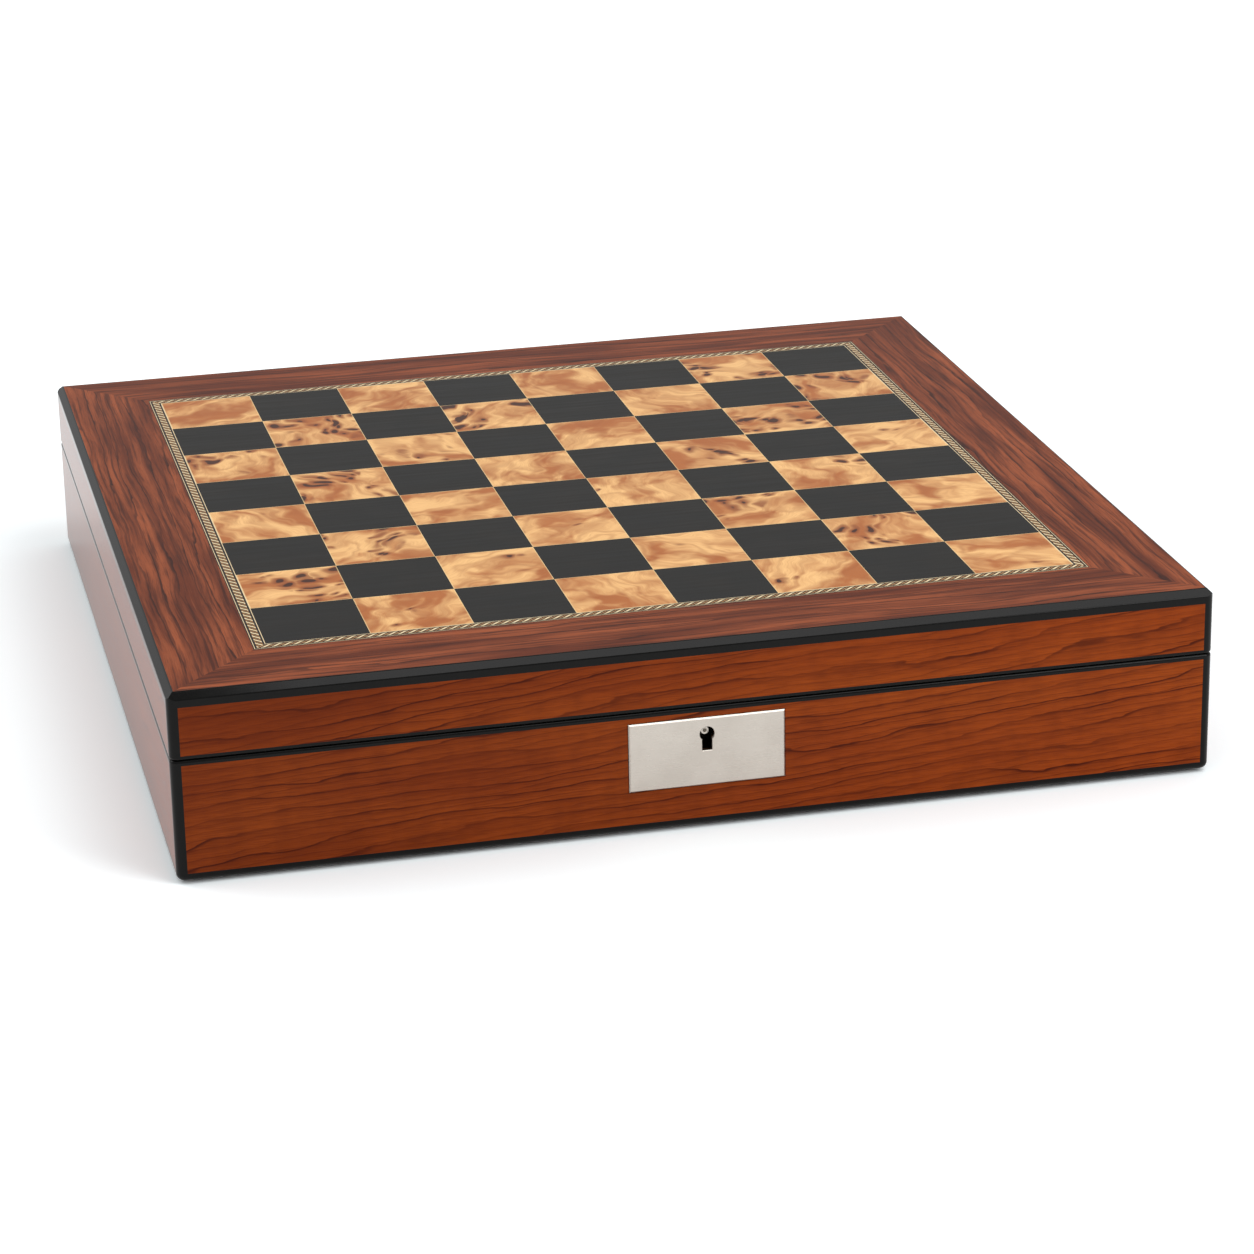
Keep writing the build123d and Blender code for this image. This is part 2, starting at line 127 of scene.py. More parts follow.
def studio_world():
    """Even light from all round, white where the camera looks past the floor."""
    world = bpy.data.worlds.new("studio")
    bpy.context.scene.world = world
    world.use_nodes = True
    tree = world.node_tree
    tree.nodes.clear()
    path = add_node(tree, "ShaderNodeLightPath")
    mirrored = mirrored_level(tree, path, sky_light, sky_mirrored)
    seen = calc(tree, "MULTIPLY_ADD", path.outputs["Is Camera Ray"], sky_seen, mirrored)
    sky = add_node(tree, "ShaderNodeBackground", {"Color": (1, 1, 1, 1), "Strength": seen})
    add_node(tree, "ShaderNodeOutputWorld", {"Surface": sky.outputs[0]})


def soft_lamp(name, place, size, power):
    """Square soft lamp that looks at the box."""
    data = bpy.data.lights.new(name, "AREA")
    data.size = size
    data.energy = power
    lamp = bpy.data.objects.new(name, data)
    lamp.location = place
    lamp.rotation_euler = (-Vector(place)).to_track_quat("-Z", "Y").to_euler()
    bpy.context.scene.collection.objects.link(lamp)


studio_floor()
studio_world()
for name, lamp in lamps.items():
    soft_lamp(name, **lamp)


# Side veneers: cherry-like wood with fine dark growth lines, glued on the four sides of the base
# and of the lid under thick clear lacquer. The grain runs level and rises a little to the right.
side_turns = {"front": 0, "right": -90, "back": 180, "left": 90}
grain_rise = 0.075
painted_light_reach = 0.22


def new_finish(name):
    """New material with its Principled shader, as (material, tree, shader)."""
    material = bpy.data.materials.new(name)
    material.use_nodes = True
    tree = material.node_tree
    return material, tree, tree.nodes["Principled BSDF"]


def set_gloss(shader, roughness, level):
    """Sets how blurred and how strong the reflections are, the same all over."""
    shader.inputs["Roughness"].default_value = roughness
    shader.inputs["Specular IOR Level"].default_value = level


def cloud(tree, place, scale, detail=2.0, roughness=0.5):
    """Noise from 0 to 1 at a place."""
    made = add_node(tree, "ShaderNodeTexNoise", {
        "Vector": place, "Scale": scale, "Detail": detail, "Roughness": roughness})
    return made.outputs["Fac"]


def stretched(tree, place, scale, turn=0.0, shift=(0.0, 0.0, 0.0)):
    """A place scaled along each axis, turned about Z in degrees, then shifted."""
    made = add_node(tree, "ShaderNodeMapping", {
        "Vector": place, "Rotation": (0, 0, math.radians(turn)), "Scale": scale, "Location": shift})
    return made.outputs[0]


def tint(tree, amount, first, second):
    """Colour between two, by an amount from 0 to 1. Each is a socket or red, green, blue."""
    first = first if isinstance(first, bpy.types.NodeSocket) else (*first, 1)
    second = second if isinstance(second, bpy.types.NodeSocket) else (*second, 1)
    made = add_node(tree, "ShaderNodeMix", {"Factor": amount, 6: first, 7: second}, data_type="RGBA")
    return made.outputs[2]


def ramp(tree, value, low, high, to_low=0.0, to_high=1.0):
    """Smooth step of a value from low to high."""
    made = add_node(tree, "ShaderNodeMapRange", {
        "Value": value, "From Min": low, "From Max": high, "To Min": to_low, "To Max": to_high},
        interpolation_type="SMOOTHSTEP")
    return made.outputs[0]


def growth_lines(tree, across, bends, jags, spacing, wander):
    """Growth rings seen on the cut: (thin dark line, soft shade before it), each from 0 to 1."""
    jag_strength = 0.55
    phase = calc(tree, "MULTIPLY", across, 1 / spacing)
    phase = calc(tree, "MULTIPLY_ADD", cloud(tree, bends, 1.0), wander, phase)
    phase = calc(tree, "MULTIPLY_ADD", cloud(tree, jags, 1.0), jag_strength, phase)
    part = calc(tree, "FRACT", phase)
    end = ramp(tree, part, 0.97, 1.0, 1.0, 0.0)
    line = calc(tree, "MULTIPLY", ramp(tree, part, 0.84, 0.95), end)
    shade = calc(tree, "MULTIPLY", ramp(tree, part, 0.35, 0.97), end)
    return line, shade


def side_veneer_finish(name, turn, seed):
    """Finish for a side. turn brings the side's length onto the X axis."""
    red_brown, amber, gold = (0.205, 0.0330, 0.0050), (0.345, 0.0585, 0.0068), (0.44, 0.0900, 0.0100)
    sheen_brown, fibre_brown = (0.120, 0.0180, 0.0035), (0.105, 0.0150, 0.0030)
    haze_brown, thin_brown = (0.085, 0.0110, 0.0030), (0.060, 0.0080, 0.0026)
    shade_brown, line_brown = (0.090, 0.0110, 0.0030), (0.044, 0.0052, 0.0022)
    material, tree, shader = new_finish(name)
    along = stretched(tree, object_place(tree), (1, 1, 1), turn)
    moved = stretched(tree, along, (1, 0, 1), 0, (seed, 0, seed))
    parts = add_node(tree, "ShaderNodeSeparateXYZ", {0: along})
    height = calc(tree, "MULTIPLY_ADD", parts.outputs["X"], -grain_rise, parts.outputs["Z"])
    bends = stretched(tree, moved, (6, 0, 24))
    jags = stretched(tree, moved, (55, 0, 240))
    line, shade = growth_lines(tree, height, bends, jags, spacing=0.0066, wander=5.2)
    thin_bends = stretched(tree, moved, (9, 0, 36), 0, (3, 0, 1))
    thin_jags = stretched(tree, moved, (80, 0, 300))
    thin, haze = growth_lines(tree, height, thin_bends, thin_jags, spacing=0.0031, wander=4.0)
    fade = ramp(tree, cloud(tree, stretched(tree, moved, (13, 0, 70)), 1.0, 1.0), 0.36, 0.62)
    fibre = cloud(tree, stretched(tree, moved, (85, 0, 2300)), 1.0, 3.0, 0.65)
    sheen = cloud(tree, stretched(tree, moved, (75, 0, 42), 0, (5, 0, 2)), 1.0, 2.0, 0.6)
    glow = cloud(tree, stretched(tree, moved, (8, 0, 34), 0, (5, 0, 2)), 1.0)
    # Painted light: each side runs from the darker red-brown at one end to the lighter amber at the other, so the
    # front brightens towards the right as if lit from there.
    colour = tint(tree, ramp(tree, parts.outputs["X"], -painted_light_reach, painted_light_reach), red_brown, amber)
    colour = tint(tree, ramp(tree, glow, 0.35, 0.75, 0.0, 0.40), colour, gold)
    colour = tint(tree, ramp(tree, sheen, 0.35, 0.75, 0.0, 0.26), colour, sheen_brown)
    colour = tint(tree, ramp(tree, fibre, 0.38, 0.72, 0.0, 0.46), colour, fibre_brown)
    colour = tint(tree, calc(tree, "MULTIPLY", haze, 0.20), colour, haze_brown)
    thin_shown = calc(tree, "MULTIPLY", calc(tree, "MULTIPLY", thin, fade), 0.38)
    colour = tint(tree, thin_shown, colour, thin_brown)
    colour = tint(tree, calc(tree, "MULTIPLY", shade, 0.30), colour, shade_brown)
    line_shown = calc(tree, "MULTIPLY", line, calc(tree, "MULTIPLY_ADD", fade, 0.62, 0.16))
    colour = tint(tree, line_shown, colour, line_brown)
    tree.links.new(colour, shader.inputs["Base Color"])
    set_gloss(shader, 0.08, 0.06)
    return material


def finish_node(node, material):
    """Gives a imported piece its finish."""
    mesh = nodes[node].data
    mesh.materials.clear()
    mesh.materials.append(material)


for number, (side, turn) in enumerate(side_turns.items()):
    veneer = side_veneer_finish(f"side_veneer_{side}", turn, 0.37 * number)
    finish_node(f"base_{side}_veneer", veneer)
    finish_node(f"lid_{side}_veneer", veneer)


# Border veneers: four mitred strips of dark-streaked rosewood round the board, the grain along each
# side, glued on the lid and lacquered with the squares.
def vector_calc(tree, operation, first, second=(0, 0, 0)):
    """One step of arithmetic between places."""
    return add_node(tree, "ShaderNodeVectorMath", {0: first, 1: second}, operation=operation).outputs[0]


def border_finish(name, turn, seed):
    """Finish for a side of the border. turn brings the side's length onto the X axis."""
    red_brown, light_brown, orange = (0.150, 0.0300, 0.0095), (0.37, 0.0900, 0.0300), (0.42, 0.1150, 0.0420)
    streak_brown, pore_brown = (0.052, 0.0110, 0.0055), (0.060, 0.0120, 0.0060)
    shade_brown, line_brown = (0.070, 0.0120, 0.0060), (0.030, 0.0070, 0.0040)
    grain_wander = 0.009
    material, tree, shader = new_finish(name)
    along = stretched(tree, object_place(tree), (1, 1, 1), turn)
    moved = stretched(tree, along, (1, 1, 0), 0, (seed, seed, 0))
    bend = calc(tree, "MULTIPLY", cloud(tree, stretched(tree, moved, (11, 26, 0)), 1.0, 1.0), grain_wander)
    moved = vector_calc(tree, "ADD", moved, add_node(tree, "ShaderNodeCombineXYZ", {"Y": bend}).outputs[0])
    across = add_node(tree, "ShaderNodeSeparateXYZ", {0: moved}).outputs["Y"]
    bends = stretched(tree, moved, (4, 34, 0))
    jags = stretched(tree, moved, (40, 300, 0))
    line, shade = growth_lines(tree, across, bends, jags, spacing=0.0072, wander=3.0)
    band = cloud(tree, stretched(tree, moved, (9, 105, 0), 0, (1, 4, 0)), 1.0)
    streak = cloud(tree, stretched(tree, moved, (18, 560, 0), 0, (3, 1, 0)), 1.0, 3.0, 0.65)
    pores = cloud(tree, stretched(tree, moved, (110, 3300, 0)), 1.0, 2.0, 0.6)
    fade = ramp(tree, cloud(tree, stretched(tree, moved, (12, 80, 0), 0, (4, 0, 0)), 1.0, 1.0), 0.35, 0.62)
    colour = tint(tree, ramp(tree, band, 0.34, 0.68), red_brown, light_brown)
    colour = tint(tree, ramp(tree, streak, 0.46, 0.66, 0.0, 0.78), colour, streak_brown)
    colour = tint(tree, ramp(tree, streak, 0.28, 0.42, 0.45, 0.0), colour, orange)
    colour = tint(tree, ramp(tree, pores, 0.45, 0.75, 0.0, 0.50), colour, pore_brown)
    colour = tint(tree, calc(tree, "MULTIPLY", shade, 0.26), colour, shade_brown)
    line_shown = calc(tree, "MULTIPLY", line, calc(tree, "MULTIPLY_ADD", fade, 0.55, 0.30))
    colour = tint(tree, line_shown, colour, line_brown)
    tree.links.new(colour, shader.inputs["Base Color"])
    set_gloss(shader, 0.30, 0.10)
    shader.inputs["IOR"].default_value = 1.32
    return material


for number, (side, turn) in enumerate(side_turns.items()):
    finish_node(f"border_veneer_{side}", border_finish(f"border_veneer_{side}", turn, 0.53 * number))


# Squares: 32 of golden burl and 32 of black-stained wood, cut from one stack of veneer each and
# laid in turn, so that every square shows another piece of the figure.
square = 0.040


def square_place(tree):
    """(place, number, distance to the square's edge), where number is the square's own vector."""
    flat = vector_calc(tree, "MULTIPLY", object_place(tree), (1, 1, 0))
    cells = vector_calc(tree, "MULTIPLY", flat, (1 / square,) * 3)
    number = vector_calc(tree, "FLOOR", cells)
    middle = vector_calc(tree, "SUBTRACT", vector_calc(tree, "FRACTION", cells), (0.5, 0.5, 0))
    sides = add_node(tree, "ShaderNodeSeparateXYZ", {0: vector_calc(tree, "ABSOLUTE", middle)})
    far = calc(tree, "MAXIMUM", sides.outputs["X"], sides.outputs["Y"])
    edge = calc(tree, "MULTIPLY", calc(tree, "SUBTRACT", 0.5, far), square)
    return flat, number, edge


def burl_finish():
    """Golden burl: amber clouds, clusters of dark eyes, a pale cut edge round each square."""
    amber, honey, fibre_amber = (0.48, 0.150, 0.036), (1.00, 0.590, 0.240), (0.46, 0.150, 0.036)
    contour_before, contour_after = (0.36, 0.095, 0.020), (0.36, 0.100, 0.022)
    halo_red, eye_brown, cut_edge = (0.28, 0.070, 0.016), (0.042, 0.0095, 0.0050), (1.00, 0.78, 0.40)
    material, tree, shader = new_finish("light_squares")
    flat, number, edge = square_place(tree)
    chance = add_node(tree, "ShaderNodeTexWhiteNoise", {"Vector": number})
    moved = vector_calc(tree, "ADD", flat, vector_calc(tree, "MULTIPLY", chance.outputs["Color"], (7, 7, 7)))
    angle = calc(tree, "MULTIPLY", chance.outputs["Value"], 6.283)
    turned = add_node(
        tree, "ShaderNodeVectorRotate", {"Vector": moved, "Angle": angle}, rotation_type="Z_AXIS").outputs[0]
    swirl = add_node(tree, "ShaderNodeTexNoise", {"Vector": turned, "Scale": 42.0, "Detail": 2.0}).outputs["Color"]
    bend = vector_calc(tree, "SUBTRACT", swirl, (0.5, 0.5, 0.5))
    bend = vector_calc(tree, "MULTIPLY", bend, (0.030, 0.030, 0.030))
    warped = vector_calc(tree, "ADD", turned, bend)
    figure = cloud(tree, stretched(tree, warped, (34, 62, 1)), 1.0, 3.0, 0.55)
    colour = tint(tree, ramp(tree, figure, 0.36, 0.62), amber, honey)
    contours = cloud(tree, stretched(tree, warped, (30, 52, 1), 0, (2, 5, 0)), 1.0, 1.0)
    wave = calc(tree, "FRACT", calc(tree, "MULTIPLY", contours, 5.0))
    before = calc(tree, "MULTIPLY", ramp(tree, wave, 0.55, 1.0), 0.34)
    colour = tint(tree, before, colour, contour_before)
    after = calc(tree, "MULTIPLY", ramp(tree, wave, 0.0, 0.30, 1.0, 0.0), 0.34)
    colour = tint(tree, after, colour, contour_after)
    fibre = cloud(tree, stretched(tree, warped, (150, 1900, 1)), 1.0)
    colour = tint(tree, ramp(tree, fibre, 0.35, 0.75, 0.0, 0.26), colour, fibre_amber)

    # Eyes grow in clusters, and some squares have none.
    cells = add_node(tree, "ShaderNodeTexVoronoi", {
        "Vector": stretched(tree, warped, (92, 138, 1)), "Scale": 1.0, "Randomness": 1.0}, voronoi_dimensions="2D")
    share = add_node(tree, "ShaderNodeSeparateXYZ", {0: cells.outputs["Color"]}).outputs["X"]
    plenty = ramp(tree, chance.outputs["Value"], 0.30, 0.85)
    cluster = calc(tree, "SUBTRACT", cloud(tree, turned, 34.0, 1.0), 0.66)
    many = ramp(tree, calc(tree, "MULTIPLY_ADD", plenty, 0.24, cluster), 0.0, 0.16)
    size = calc(tree, "MULTIPLY", many, calc(tree, "MULTIPLY_ADD", share, 0.30, 0.12))
    depth = calc(tree, "SUBTRACT", size, cells.outputs["Distance"])
    shown = ramp(tree, size, 0.02, 0.10)
    halo = ramp(tree, depth, -0.34, 0.02, 0.0, 0.85)
    colour = tint(tree, calc(tree, "MULTIPLY", halo, shown), colour, halo_red)
    eye = calc(tree, "MULTIPLY", ramp(tree, depth, 0.0, 0.09), shown)
    colour = tint(tree, calc(tree, "MULTIPLY", eye, 0.93), colour, eye_brown)
    colour = tint(tree, ramp(tree, edge, 0.0, 0.00050, 0.75, 0.0), colour, cut_edge)
    tree.links.new(colour, shader.inputs["Base Color"])
    set_gloss(shader, 0.30, 0.10)
    return material


def stained_finish():
    """Black-stained wood with faint grain and a darker cut edge."""
    black, grey = (0.0070, 0.0070, 0.0066), (0.0150, 0.0140, 0.0125)
    brown, cut_edge = (0.0180, 0.0145, 0.0115), (0.002, 0.002, 0.002)
    material, tree, shader = new_finish("dark_squares")
    flat, number, edge = square_place(tree)
    chance = add_node(tree, "ShaderNodeTexWhiteNoise", {"Vector": number}).outputs["Color"]
    moved = vector_calc(tree, "ADD", flat, chance)
    grain = cloud(tree, stretched(tree, moved, (25, 420, 1)), 1.0, 3.0, 0.6)
    mottle = cloud(tree, moved, 60.0)
    colour = tint(tree, ramp(tree, grain, 0.3, 0.75), black, grey)
    colour = tint(tree, ramp(tree, mottle, 0.35, 0.75, 0.0, 0.4), colour, brown)
    colour = tint(tree, ramp(tree, edge, 0.0, 0.0004, 0.7, 0.0), colour, cut_edge)
    tree.links.new(colour, shader.inputs["Base Color"])
    tree.links.new(ramp(tree, grain, 0.2, 0.8, 0.32, 0.42), shader.inputs["Roughness"])
    shader.inputs["Specular IOR Level"].default_value = 0.10
    return material


finish_node("light_squares", burl_finish())
finish_node("dark_squares", stained_finish())


# Black edging: strips with a thick black gloss lacquer round the lid, the rims, the foot and up the
# corners, flush with the veneers.
def black_lacquer_finish():
    """Black gloss lacquer, barely uneven."""
    black, dust_grey = (0.0024, 0.0024, 0.0022), (0.0044, 0.0042, 0.0038)
    material, tree, shader = new_finish("black_edging")
    place = object_place(tree)
    dust = ramp(tree, cloud(tree, place, 900.0), 0.4, 0.8)
    haze = cloud(tree, place, 55.0)
    tree.links.new(tint(tree, dust, black, dust_grey), shader.inputs["Base Color"])
    tree.links.new(ramp(tree, haze, 0.3, 0.7, 0.06, 0.10), shader.inputs["Roughness"])
    shader.inputs["Specular IOR Level"].default_value = 0.15
    return material


black_lacquer = black_lacquer_finish()
for side in side_turns:
    finish_node(f"base_foot_edging_{side}", black_lacquer)
    finish_node(f"lid_top_edging_{side}", black_lacquer)
for node in ("base_rim_edging", "base_corner_edging", "lid_rim_edging", "lid_corner_edging"):
    finish_node(node, black_lacquer)


# Inlay band: a bought strip of wood mosaic let in round the squares, mitred at the corners. A rope
# of pale and golden strands lies on black, with a thin pale line on each side of it.
band_low, band_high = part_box("inlay_band_front")
half_field = -band_high.y
band_width = band_high.y - band_low.y
band_top = band_high.z
black_wood, pale_wood, gold_wood = range(3)
# Widths from the squares outwards.
mosaic_layers = (
    (0.00030, pale_wood), (0.00075, black_wood), (0.00270, black_wood), (0.00080, black_wood),
    (0.00025, pale_wood), (0.00040, black_wood))
rope_near = -half_field - 0.00375
rope_far = -half_field - 0.00105
strand_pitch = 0.0040
strand_reach = strand_pitch * 0.55
strand_lift = 0.00002
pale_strand = 0.00082
gold_strand = 0.00046


def plain_wood_finish(name, dark, light, grain_turn):
    """Finish of one wood of the mosaic, with fine grain."""
    material, tree, shader = new_finish(name)
    fibre = cloud(tree, stretched(tree, object_place(tree), (500, 2600, 1), grain_turn), 1.0)
    tree.links.new(tint(tree, ramp(tree, fibre, 0.3, 0.7), dark, light), shader.inputs["Base Color"])
    set_gloss(shader, 0.30, 0.10)
    return material


mosaic_finishes = [
    plain_wood_finish("mosaic_black", (0.006, 0.004, 0.003), (0.016, 0.010, 0.007), 0),
    plain_wood_finish("mosaic_pale", (0.86, 0.62, 0.34), (1.00, 0.84, 0.54), 0),
    plain_wood_finish("mosaic_gold", (0.42, 0.190, 0.060), (0.58, 0.290, 0.105), 30),
]


def faces_of(verts):
    """All faces that touch the vertices."""
    return {face for vert in verts for face in vert.link_faces}


def mosaic_strip(bm, near, far, wood):
    """Straight strip of one wood along the front, longer than the band."""
    length = 2 * (half_field + band_width)
    verts = bmesh.ops.create_cube(bm, size=1.0)["verts"]
    bmesh.ops.scale(bm, vec=(length, far - near, band_top - band_low.z), verts=verts)
    bmesh.ops.translate(bm, vec=(0, (near + far) / 2, (band_low.z + band_top) / 2), verts=verts)
    for face in faces_of(verts):
        face.material_index = wood


def rope_strand(bm, middle, width, wood):
    """One S-shaped strand of the rope, from edge to edge of the rope."""
    rise = rope_far - rope_near
    lower = bmesh.ops.create_grid(bm, x_segments=10, y_segments=1, size=0.5)["verts"]
    for vert in lower:
        part = vert.co.x + 0.5
        half = math.copysign(width / 2, vert.co.y) * (0.72 + 0.28 * math.sin(math.pi * part))
        slope = rise * 0.5 * math.pi * math.sin(math.pi * part)
        aside = Vector((-slope, 2 * strand_reach)).normalized() * half
        x = middle + (2 * part - 1) * strand_reach + aside.x
        y = rope_near + rise * (0.5 - 0.5 * math.cos(math.pi * part)) + aside.y
        vert.co = (x, min(max(y, rope_near), rope_far), band_top)
    raised = bmesh.ops.extrude_face_region(bm, geom=list(faces_of(lower)), use_keep_orig=True)["geom"]
    upper = [item for item in raised if isinstance(item, bmesh.types.BMVert)]
    bmesh.ops.translate(bm, vec=(0, 0, strand_lift), verts=upper)
    for face in faces_of(lower + upper):
        face.material_index = wood


def rope_band(side, turn):
    """The band along one side, cut at the mitres and turned to its place."""
    bm = bmesh.new()
    far = -half_field
    for width, wood in mosaic_layers:
        mosaic_strip(bm, far - width, far, wood)
        far -= width
    count = int((half_field + band_width) / strand_pitch) + 2
    for number in range(-count, count + 1):
        rope_strand(bm, number * strand_pitch, pale_strand, pale_wood)
        rope_strand(bm, (number + 0.5) * strand_pitch, gold_strand, gold_wood)
    for sign in (-1, 1):
        bmesh.ops.bisect_plane(
            bm, geom=bm.verts[:] + bm.edges[:] + bm.faces[:], plane_co=(0, 0, 0),
            plane_no=(sign, 1, 0), clear_outer=True)
        bmesh.ops.holes_fill(bm, edges=[edge for edge in bm.edges if edge.is_boundary], sides=0)
    bmesh.ops.rotate(bm, cent=(0, 0, 0), matrix=Matrix.Rotation(math.radians(turn), 3, "Z"), verts=bm.verts)
    bmesh.ops.recalc_face_normals(bm, faces=bm.faces)
    mesh = bpy.data.meshes.new(f"rope_band_{side}")
    bm.to_mesh(mesh)
    bm.free()
    for finish in mosaic_finishes:
        mesh.materials.append(finish)
    band = bpy.data.objects.new(f"rope_band_{side}", mesh)
    bpy.context.scene.collection.objects.link(band)
    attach(band, "lid")
    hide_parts(f"inlay_band_{side}")


for number, side in enumerate(side_turns):
    rope_band(side, 90 * number)


# Carcass: boards, panels and partitions stained dark walnut inside, seen when the lid is open. They
# are plain boards, glued at the corners, and the dividers stand in the long partitions.
def stained_board_finish(name, turn):
    """Dark-stained board, satin."""
    walnut_dark, walnut_light, pore_black = (0.040, 0.018, 0.009), (0.105, 0.048, 0.022), (0.012, 0.007, 0.004)
    material, tree, shader = new_finish(name)
    along = stretched(tree, object_place(tree), (1, 1, 1), turn)
    grain = cloud(tree, stretched(tree, along, (12, 260, 260)), 1.0, 3.0, 0.6)
    pores = cloud(tree, stretched(tree, along, (120, 3000, 3000)), 1.0)
    colour = tint(tree, ramp(tree, grain, 0.3, 0.72), walnut_dark, walnut_light)
    colour = tint(tree, ramp(tree, pores, 0.5, 0.8, 0.0, 0.5), colour, pore_black)
    tree.links.new(colour, shader.inputs["Base Color"])
    tree.links.new(ramp(tree, grain, 0.2, 0.8, 0.38, 0.5), shader.inputs["Roughness"])
    shader.inputs["Specular IOR Level"].default_value = 0.4
    return material


board_finishes = [stained_board_finish(f"stained_board_{turn}", turn) for turn in (0, 90)]
for number, side in enumerate(side_turns):
    finish_node(f"base_{side}_board", board_finishes[number % 2])
    finish_node(f"lid_{side}_board", board_finishes[number % 2])
for node in ("base_bottom_panel", "lid_panel", "cell_dividers"):
    finish_node(node, board_finishes[0])
finish_node("long_partitions", board_finishes[1])


# Felt: pads glued in every compartment and in the lid, and a sheet under the base. They are cut a
# little smaller than their places, and their edges are soft.
soft_edge = 0.0012
edge_drop = 0.00040
nap_dent = 0.00006
felt_spacing = 0.009


def felt_finish(name, dark, light):
    """Short-napped felt."""
    material, tree, shader = new_finish(name)
    place = object_place(tree)
    nap = cloud(tree, place, 2400.0, 3.0, 0.7)
    patch = ramp(tree, cloud(tree, place, 26.0, 3.0), 0.3, 0.7)
    amount = calc(tree, "MULTIPLY_ADD", patch, 0.35, calc(tree, "MULTIPLY", nap, 0.65))
    tree.links.new(tint(tree, amount, dark, light), shader.inputs["Base Color"])
    set_gloss(shader, 0.95, 0.15)
    shader.inputs["Sheen Weight"].default_value = 0.35
    shader.inputs["Sheen Roughness"].default_value = 0.5
    bump = add_node(tree, "ShaderNodeBump", {"Height": nap, "Strength": 0.5, "Distance": 0.0003})
    tree.links.new(bump.outputs[0], shader.inputs["Normal"])
    return material


def node_pads(node):
    """The (lowest, highest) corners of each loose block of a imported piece."""
    bm = bmesh.new()
    bm.from_mesh(nodes[node].data)
    bmesh.ops.remove_doubles(bm, verts=bm.verts[:], dist=0.00001)
    left = set(bm.verts)
    pads = []
    while left:
        found = [left.pop()]
        for vert in found:
            for edge in vert.link_edges:
                other = edge.other_vert(vert)
                if other in left:
                    left.remove(other)
                    found.append(other)
        pads.append([Vector(pick(vert.co[axis] for vert in found) for axis in range(3)) for pick in (min, max)])
    bm.free()
    return pads


def felt_lines(low, high):
    """Places of the grid lines across a pad: close together at the soft edges."""
    width = high - low - 2 * soft_edge
    count = max(2, round(width / felt_spacing))
    inner = [low + soft_edge + width * number / count for number in range(count + 1)]
    return [low, low + soft_edge * 0.3, *inner, high - soft_edge * 0.3, high]


def felt_pad(bm, low, high, facing):
    """One pad with soft edges, its nap side slightly uneven. facing is 1 for up and -1 for down."""
    back, face = (low.z, high.z) if facing > 0 else (high.z, low.z)
    columns, rows = felt_lines(low.x, high.x), felt_lines(low.y, high.y)
    last_i, last_j = len(columns) - 1, len(rows) - 1
    nap = bmesh.ops.create_grid(bm, x_segments=last_i, y_segments=last_j, size=0.5)["verts"]
    for vert in nap:
        i, j = round((vert.co.x + 0.5) * last_i), round((vert.co.y + 0.5) * last_j)
        x, y = columns[i], rows[j]
        ring = min(i, j, last_i - i, last_j - j)
        wave = math.sin(97 * x + 1.3) * math.sin(83 * y + 0.4) + math.sin(211 * x - 167 * y)
        sunk = (edge_drop, edge_drop * 0.3, 0.0)[min(ring, 2)] + nap_dent * (0.5 + wave / 4)
        vert.co = (x, y, face - facing * sunk)
    rear = bmesh.ops.extrude_face_region(bm, geom=list(faces_of(nap)), use_keep_orig=True)["geom"]
    for item in rear:
        if isinstance(item, bmesh.types.BMVert):
            item.co.z = back
    bmesh.ops.dissolve_faces(bm, faces=[item for item in rear if isinstance(item, bmesh.types.BMFace)])


def felt_piece(name, node, finish, body, facing):
    """All pads of a felt node as one mesh that stands for it."""
    bm = bmesh.new()
    for low, high in node_pads(node):
        felt_pad(bm, low, high, facing)
    bmesh.ops.recalc_face_normals(bm, faces=bm.faces)
    mesh = bpy.data.meshes.new(name)
    bm.to_mesh(mesh)
    bm.free()
    for polygon in mesh.polygons:
        polygon.use_smooth = len(polygon.vertices) == 4
    mesh.materials.append(finish)
    felt = bpy.data.objects.new(name, mesh)
    bpy.context.scene.collection.objects.link(felt)
    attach(felt, body)
    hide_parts(node)


green_felt = felt_finish("felt_lining", (0.008, 0.035, 0.018), (0.022, 0.085, 0.045))
black_felt = felt_finish("underside_baize", (0.010, 0.010, 0.010), (0.030, 0.030, 0.030))
felt_piece(
    "compartment_felts", "compartment_linings", green_felt, "base", 1)
felt_piece("lid_felt", "lid_lining", green_felt, "lid", -1)
felt_piece(
    "underside_felt", "underside_baize", black_felt, "base", -1)


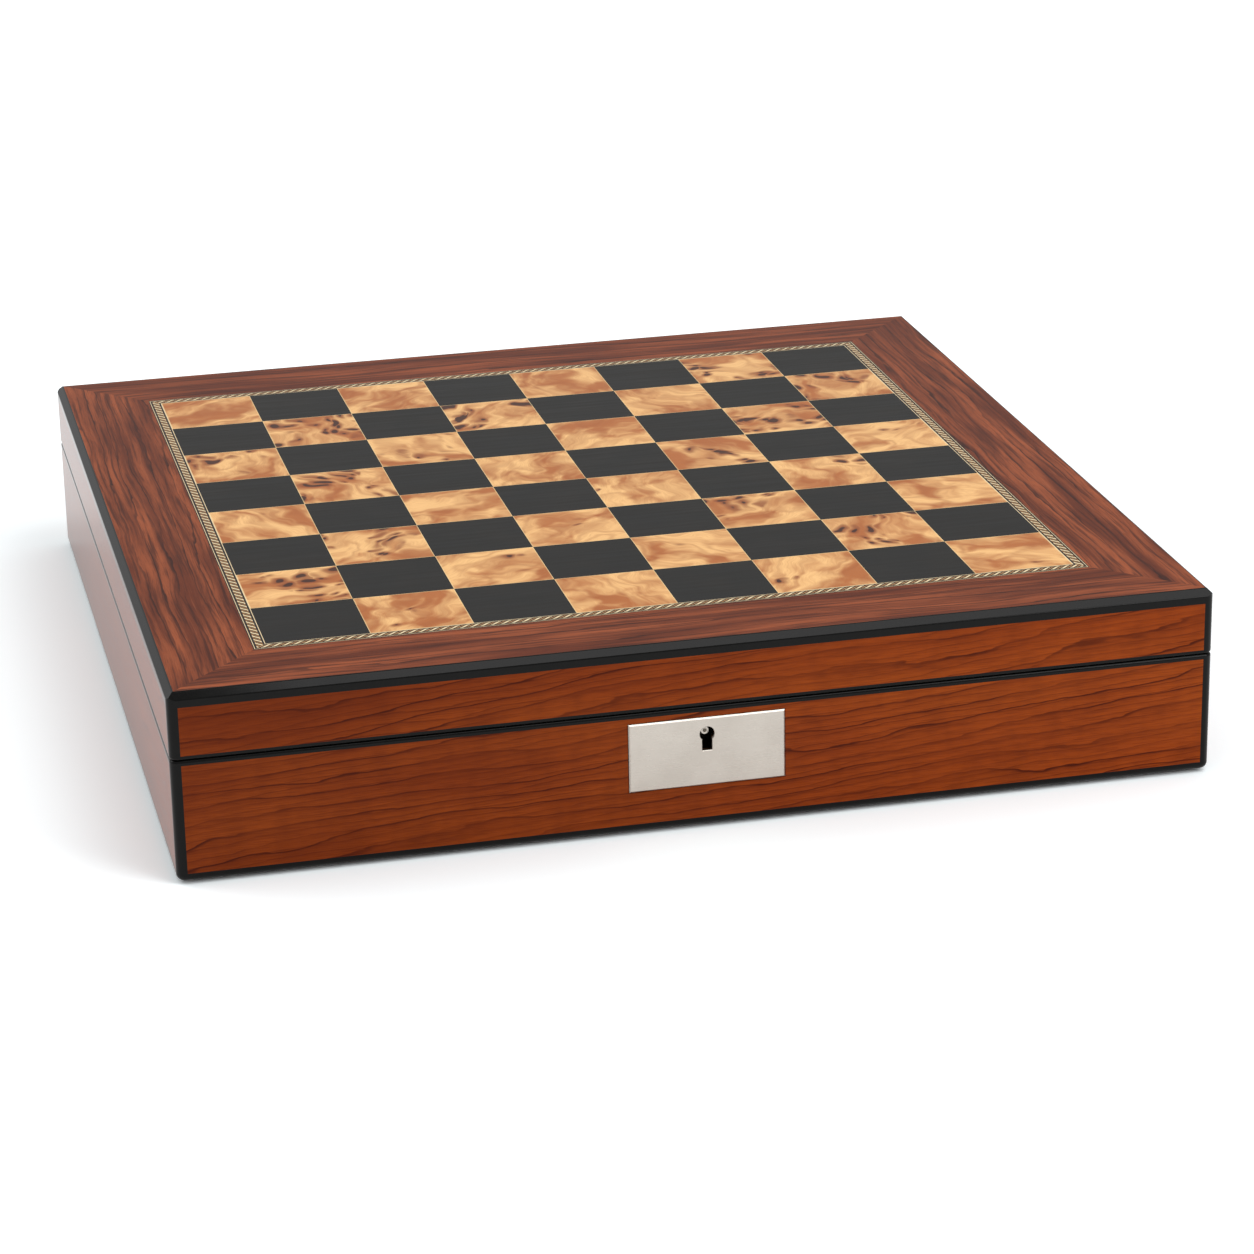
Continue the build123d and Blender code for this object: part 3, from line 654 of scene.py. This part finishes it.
# Lock plate, lock, strike plate and hinges: nickel-plated steel, screwed to the boards. The plate is
# satin, let into the front veneer with a bevelled edge, and the lock sits behind it.
forend_thickness = 0.0025


def nickel_finish(name, roughness, brushed):
    """Nickel plate, brushed along the piece."""
    dull, bright = (0.520, 0.482, 0.432), (0.558, 0.520, 0.468)
    material, tree, shader = new_finish(name)
    place = object_place(tree)
    brush = cloud(tree, stretched(tree, place, (90, 2400, 2400)), 1.0, 3.0, 0.6)
    smudge = ramp(tree, cloud(tree, place, 70.0, 3.0), 0.35, 0.7)
    tree.links.new(tint(tree, smudge, dull, bright), shader.inputs["Base Color"])
    shader.inputs["Metallic"].default_value = 1.0
    blur = ramp(tree, brush, 0.25, 0.75, roughness - brushed, roughness + brushed)
    tree.links.new(blur, shader.inputs["Roughness"])
    return material


def lock_case_finish():
    """Nickel plate on top of the lock, and below it in the mortise dark steel with painted shade that makes it
    near black.
    """
    shaded_dark_steel = (0.045, 0.040, 0.035)
    material = nickel_finish("lock_case", 0.30, 0.08)
    tree = material.node_tree
    shader = tree.nodes["Principled BSDF"]
    height = add_node(tree, "ShaderNodeSeparateXYZ", {0: object_place(tree)}).outputs["Z"]
    forend_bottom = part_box("lock_case")[1].z - forend_thickness
    bright = shader.inputs["Base Color"].links[0].from_socket
    # Painted shade: below the forend the steel is painted near black, standing in for the shade inside the mortise
    # behind the keyhole.
    shown = calc(tree, "GREATER_THAN", height, forend_bottom)
    tree.links.new(tint(tree, shown, shaded_dark_steel, bright), shader.inputs["Base Color"])
    return material


metal_pieces = (
    (nickel_finish("nickel_plate", 0.30, 0.05), ["lock_plate"]),
    (lock_case_finish(), ["lock_case", "lock_cover"]),
    (nickel_finish("lock_steel", 0.26, 0.06), ["lock_bolt", "strike_plate", "lock_post"]),
    (nickel_finish("hinge_metal", 0.26, 0.08), ["hinge_base_leaves", "hinge_lid_leaves", "hinge_pins"]),
    (nickel_finish("screw_steel", 0.22, 0.05), [
        "lock_screws", "strike_screws", "hinge_base_screws", "hinge_lid_screws"]),
)
for finish, metal_nodes in metal_pieces:
    for node in metal_nodes:
        finish_node(node, finish)
